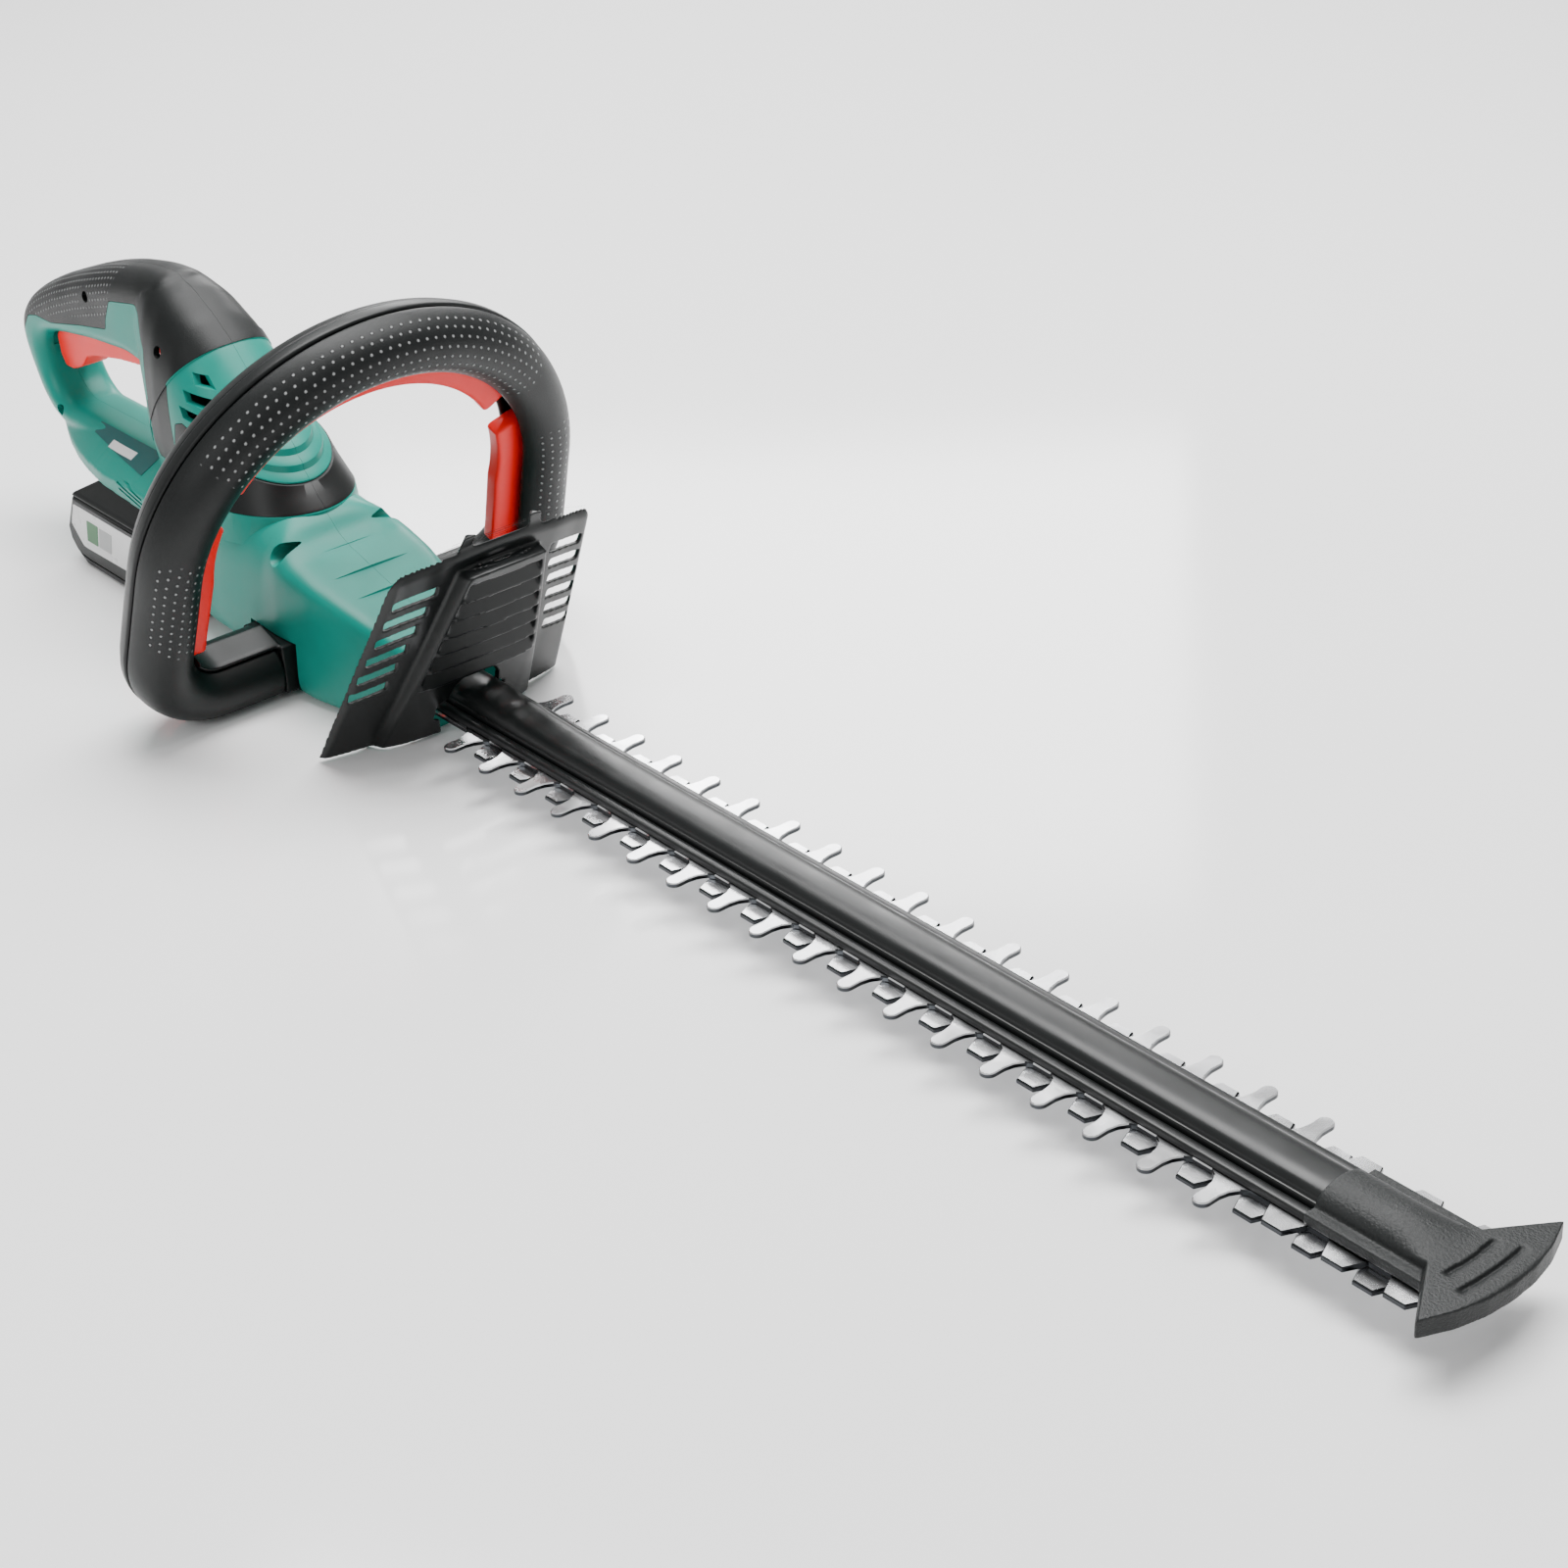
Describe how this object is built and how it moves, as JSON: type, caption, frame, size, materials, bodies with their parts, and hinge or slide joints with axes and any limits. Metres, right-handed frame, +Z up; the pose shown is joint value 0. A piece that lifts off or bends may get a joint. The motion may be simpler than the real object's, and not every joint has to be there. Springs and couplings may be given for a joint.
{
  "type": "hedge trimmer",
  "caption": "Cordless hedge trimmer: rear D handle with trigger, padded front loop with switch bars, hand guard and a long two-sided cutting blade.",
  "frame": {"origin": "middle of the bounding box's underside, on the ground that the tool lies on", "axes": "+X forward along the blade, +Y to the left of the housing's seam, +Z up"},
  "size_m": [0.9446, 0.234, 0.1871],
  "materials": {
    "teal_plastic": "fine-grained moulded teal plastic",
    "black_plastic": "fine-grained moulded black plastic",
    "soft_grip": "dimpled soft grip",
    "bumper_plastic": "coarse-grained black plastic",
    "red_plastic": "satin red plastic",
    "blade_steel": "ground bright steel",
    "dark_steel": "oiled dark steel",
    "cast_aluminium": "as cast",
    "copper_winding": "lacquered copper and steel laminations",
    "bronze_bush": "sintered bronze",
    "circuit_board": "lacquered board",
    "grey_plastic": "grey plastic",
    "cell_wrap": "shrink wrap over a steel cell"
  },
  "bodies": {
    "body": {"left_housing": "teal_plastic", "right_housing": "teal_plastic", "left_grip_cover": "black_plastic", "right_grip_cover": "black_plastic", "left_collar": "black_plastic", "right_collar": "black_plastic", "front_grip": "soft_grip", "front_grip_back": "black_plastic", "left_handle_insert": "black_plastic", "right_handle_insert": "black_plastic", "hand_guard": "black_plastic", "fixed_blade": "blade_steel", "blade_rail": "black_plastic", "tip_guard": "bumper_plastic", "blade_bolt_1": "dark_steel", "blade_bolt_2": "dark_steel", "blade_bolt_3": "dark_steel", "blade_bolt_4": "dark_steel", "motor_can": "dark_steel", "front_bearing": "blade_steel", "rear_bearing": "blade_steel", "gear_bush": "bronze_bush", "gear_plate": "cast_aluminium", "trigger_pin": "blade_steel", "trigger_switch": "black_plastic", "control_board": "circuit_board", "terminal_block": "black_plastic", "top_bar_switch": "black_plastic", "left_bar_switch": "black_plastic", "right_bar_switch": "black_plastic", "grip_screw": "dark_steel", "cap_screw": "dark_steel", "column_screw": "dark_steel", "corner_screw": "dark_steel", "gearbox_screw": "dark_steel"},
    "rotor": {"armature": "copper_winding", "motor_shaft": "blade_steel", "cooling_fan": "black_plastic", "motor_pinion": "blade_steel"},
    "drive": {"drive_gear": "blade_steel", "gear_shaft": "blade_steel", "eccentric": "blade_steel"},
    "blade": {"moving_blade": "blade_steel"},
    "trigger": {"trigger": "red_plastic", "trigger_spring": "blade_steel"},
    "top_bar": {"top_switch_bar": "red_plastic"},
    "left_bar": {"left_switch_bar": "red_plastic"},
    "right_bar": {"right_switch_bar": "red_plastic"},
    "battery": {"battery_base": "black_plastic", "battery_top": "black_plastic", "cell_1": "cell_wrap", "cell_2": "cell_wrap", "cell_3": "cell_wrap", "cell_4": "cell_wrap", "cell_5": "cell_wrap"},
    "battery_button": {"battery_button": "grey_plastic"}
  },
  "joints": [
    {"name": "rotor_spin", "type": "hinge", "parent": "body", "child": "rotor", "pos_m": [-0.2633, 0, 0.067], "axis": [0, 0, 1], "continuous": true},
    {"name": "drive_spin", "type": "hinge", "parent": "body", "child": "drive", "pos_m": [-0.2283, 0, 0.033], "axis": [0, 0, 1], "continuous": true},
    {"name": "blade_stroke", "type": "slide", "parent": "body", "child": "blade", "axis": [1, 0, 0], "range_m": [-0.008, 0.008]},
    {"name": "trigger_pull", "type": "hinge", "parent": "body", "child": "trigger", "pos_m": [-0.3513, 0, 0.119], "axis": [0, 1, 0], "range_deg": [0, 6], "stiffness_Nm_per_rad": 2, "springref_deg": -2.86},
    {"name": "top_bar_press", "type": "slide", "parent": "body", "child": "top_bar", "axis": [0.3304, 0, 0.9439], "range_m": [0, 0.004], "stiffness_N_per_m": 1500, "springref_m": -0.001},
    {"name": "left_bar_press", "type": "slide", "parent": "body", "child": "left_bar", "axis": [0, 1, 0], "range_m": [0, 0.004], "stiffness_N_per_m": 1500, "springref_m": -0.001},
    {"name": "right_bar_press", "type": "slide", "parent": "body", "child": "right_bar", "axis": [0, -1, 0], "range_m": [0, 0.004], "stiffness_N_per_m": 1500, "springref_m": -0.001},
    {"name": "battery_slide", "type": "slide", "parent": "body", "child": "battery", "axis": [1, 0, 0], "range_m": [-0.1, 0]},
    {"name": "button_press", "type": "slide", "parent": "battery", "child": "battery_button", "axis": [0, 0, -1], "range_m": [0, 0.003], "stiffness_N_per_m": 1000, "springref_m": -0.001}
  ],
  "couplings": [
    {"joint": "drive_spin", "follows": "rotor_spin", "ratio": -0.16667}
  ]
}
